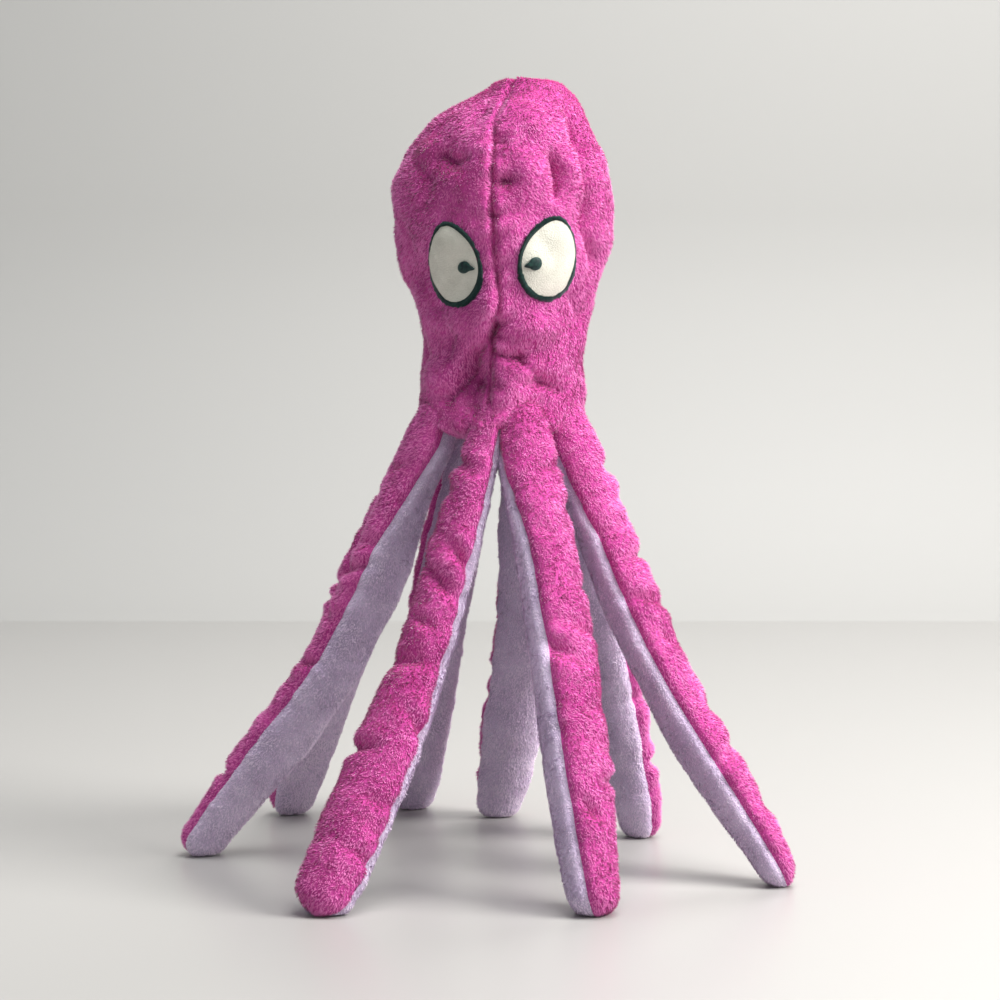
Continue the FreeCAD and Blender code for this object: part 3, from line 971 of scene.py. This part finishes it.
def tentacle_grid(number, line, knee_at, distances, angles, inset):
    """Surface of a tentacle at the given distances along it and angles round it.

    Angle 0 is the middle of the magenta back, and the seams are at plus and minus 90 degrees.
    """
    points, along = line
    place, direction = line_at(points, along, distances)
    share = np.clip(distances / along[-1], 0.0, 1.0)
    twists, sizes = TENTACLE_TWIST[number - 1][:3], TENTACLE_TWIST[number - 1][3:]
    twist = np.radians(np.interp(share, TWIST_SHARES, twists))
    size = np.interp(share, (0.0, 0.5, 1.0), sizes)
    side = unit(np.cross(direction, UP))
    back = np.cross(side, direction)
    half = thickness_at(distances, knee_at, along[-1]) * size
    turn = angles[None, :]
    thick = half[:, None] * np.cos(turn)
    wide = half[:, None] * WIDTH_RATIO * np.sin(turn)
    cos_t, sin_t = np.cos(twist)[:, None], np.sin(twist)[:, None]
    local_back = thick * cos_t - wide * sin_t
    local_side = thick * sin_t + wide * cos_t
    offset = back[:, None] * local_back[..., None] + side[:, None] * local_side[..., None]
    plain = place[:, None] + offset
    out = unit(offset + direction[:, None] * 1e-9)
    relief = tentacle_relief(number, plain, distances, turn, half, along[-1])
    surface = plain + out * (relief - inset)[..., None]
    floor = 0.7 * MM + inset
    surface[..., 2] = np.maximum(surface[..., 2], floor)
    return surface


def build_tentacle(number):
    root = np.array(JOINTS[f"tentacle_{number}_root"]["pos_m"])
    knee = np.array(JOINTS[f"tentacle_{number}_bend"]["pos_m"])
    tip = tip_centre(number, knee)
    sewn_at = root + np.array(ROOT_SHIFT.get(number, (0.0, 0.0, 0.0))) * MM
    points, along, knee_at = centre_line(sewn_at, knee, tip)
    line = (points, along)
    split = knee_at - SPLIT_BEFORE_KNEE
    end = along[-1] + TIP_THICKNESS * MM * 0.999
    # each part has one row past the split, so that both face the same way there; it is dropped
    top_rows = np.append(np.linspace(-SEWN_DEPTH, split, TENTACLE_ROWS), split + 1.0 * MM)
    tip_rows = np.concatenate([
        [split - 1.0 * MM],
        np.linspace(split, along[-1], TENTACLE_ROWS),
        along[-1] + (end - along[-1]) * np.sin(np.linspace(0.0, math.pi / 2, TIP_ROWS))[1:],
    ])
    spans = {"top": (top_rows, slice(0, -1)), "tip": (tip_rows, slice(1, None))}
    upper_way = unit(knee - root)
    lower_way = unit(tip - knee)
    quarter = math.pi / 2
    back_angles = np.linspace(-quarter, quarter, TENTACLE_COLUMNS)
    under_angles = np.linspace(quarter, 3 * quarter, TENTACLE_COLUMNS)
    halves = {
        "outer": (back_angles, MAGENTA_BACKING_PAINTED_SHADE, MAGENTA_TUFTS, MAGENTA_PILE, "plush_magenta"),
        "inner": (under_angles, LILAC_BACKING_PAINTED_SHADE, LILAC_TUFTS, LILAC_PILE, "plush_lilac"),
    }
    for part, (distances, kept) in spans.items():
        pieces = []
        for half, (angles, backing, shades, length, slot_name) in halves.items():
            wrapped = np.where(angles > math.pi, angles - 2 * math.pi, angles)
            grid = tentacle_grid(number, line, knee_at, distances, wrapped, 0.0)
            normals = grid_normals(grid)
            centre = line_at(points, along, distances)[0][:, None]
            if np.sum(normals * (grid - centre)) < 0:
                grid = grid[:, ::-1]
                normals = grid_normals(grid)
            nap = unit(unit(np.gradient(grid, axis=0)) + 0.5 * noise_vector(grid, 25 * MM, 71))
            grid, normals, nap = grid[kept], normals[kept], nap[kept]
            name = f"tentacle_{number}_{part}_{half}"
            skin = shell(f"{name}_skin", grid, normals, backing)
            pile = tufts(f"{name}_pile", grid, normals, nap, length, shades)
            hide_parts(name)
            pieces += [skin, pile]
        around = np.linspace(-math.pi, math.pi, TENTACLE_COLUMNS, endpoint=False)
        inside = tentacle_grid(
            number, line, knee_at, distances[kept][2:-3], around, SKIN_THICKNESS + STUFFING_INSET)
        stuffing = tube(f"tentacle_{number}_{part}_stuffing", inside, STUFFING_FIBRE)
        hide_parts(f"tentacle_{number}_{part}_filling")
        for piece in pieces + [stuffing]:
            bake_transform(piece)


# ================================ stage, light, camera =========================================
STAGE_HALF_WIDTH = 4.0
STAGE_FRONT_Y = -3.0
WALL_Y = 1.3
WALL_TOP = 2.6
SWEEP_RADIUS = 0.35
SWEEP_STEPS = 12
# name, place, size, power, colour
LIGHTS = (
    ("window", (1.25, -0.45, 1.0), 0.9, 36.0, (1.0, 0.975, 0.95)),
    ("rim", (0.5, 1.1, 1.2), 0.8, 12.0, (1.0, 0.97, 0.96)),
    ("ceiling", (0.2, -0.25, 1.3), 0.8, 14.0, (1.0, 0.99, 0.98)),
    ("fill", (-1.2, -0.7, 0.7), 1.2, 0.8, (0.90, 0.93, 1.0)),
)
CAMERA_DISTANCE = 1.0
CAMERA_HEIGHT = 0.2
CAMERA_TILT = math.radians(3.0)
CAMERA_LENS = 87.5             # millimetres, for a sensor 36 mm wide


def stage_material(name, color, roughness):
    material = bpy.data.materials.new(name)
    material.use_nodes = True
    shader = material.node_tree.nodes["Principled BSDF"]
    shader.inputs["Base Color"].default_value = (*color, 1.0)
    shader.inputs["Roughness"].default_value = roughness
    return material


def build_stage():
    """A floor that sweeps up into a pale backdrop."""
    sweep_y = WALL_Y - SWEEP_RADIUS
    profile = [(STAGE_FRONT_Y, 0.0), (sweep_y, 0.0)]
    for step in range(1, SWEEP_STEPS + 1):
        turn = step / SWEEP_STEPS * math.pi / 2
        rise = SWEEP_RADIUS - SWEEP_RADIUS * math.cos(turn)
        profile.append((sweep_y + SWEEP_RADIUS * math.sin(turn), rise))
    profile.append((WALL_Y, WALL_TOP))
    sides = (-STAGE_HALF_WIDTH, STAGE_HALF_WIDTH)
    vertices = [(x, y, z) for y, z in profile for x in sides]
    faces = [(2 * n, 2 * n + 1, 2 * n + 3, 2 * n + 2) for n in range(len(profile) - 1)]
    mesh = bpy.data.meshes.new("studio_floor")
    mesh.from_pydata(vertices, [], faces)
    mesh.polygons.foreach_set("use_smooth", [True] * len(mesh.polygons))
    mesh.materials.append(stage_material("studio_table", (0.42, 0.415, 0.40), 0.35))
    mesh.materials.append(stage_material("studio_wall", (0.47, 0.47, 0.455), 0.6))
    for face in mesh.polygons[1:]:
        face.material_index = 1
    floor = bpy.data.objects.new("studio_floor", mesh)
    bpy.context.scene.collection.objects.link(floor)


def area_light(name, place, target, size, power, color):
    data = bpy.data.lights.new(name, "AREA")
    data.shape = "DISK"
    data.size = size
    data.energy = power
    data.color = color
    light = bpy.data.objects.new(name, data)
    light.location = place
    light.rotation_euler = (Vector(target) - Vector(place)).to_track_quat("-Z", "Y").to_euler()
    bpy.context.scene.collection.objects.link(light)


def build_light():
    world = bpy.data.worlds.new("soft_room")
    world.use_nodes = True
    background = world.node_tree.nodes["Background"]
    background.inputs["Color"].default_value = (0.93, 0.96, 1.0, 1.0)
    background.inputs["Strength"].default_value = 0.36
    bpy.context.scene.world = world
    middle = (BODY_X, BODY_Y, 0.2)
    for name, place, size, power, color in LIGHTS:
        area_light(name, place, middle, size, power, color)


def build_camera():
    data = bpy.data.cameras.new("camera")
    data.sensor_width = 36.0
    data.lens = CAMERA_LENS
    camera = bpy.data.objects.new("camera", data)
    camera.location = (BODY_X, BODY_Y - CAMERA_DISTANCE, CAMERA_HEIGHT)
    camera.rotation_euler = (math.pi / 2 - CAMERA_TILT, 0.0, 0.0)
    bpy.context.scene.collection.objects.link(camera)
    bpy.context.scene.camera = camera


build_camera()
build_light()
build_stage()
build_head()
build_neck()
for tentacle_number in range(1, TENTACLE_COUNT + 1):
    build_tentacle(tentacle_number)
bpy.context.scene.view_settings.view_transform = "Standard"
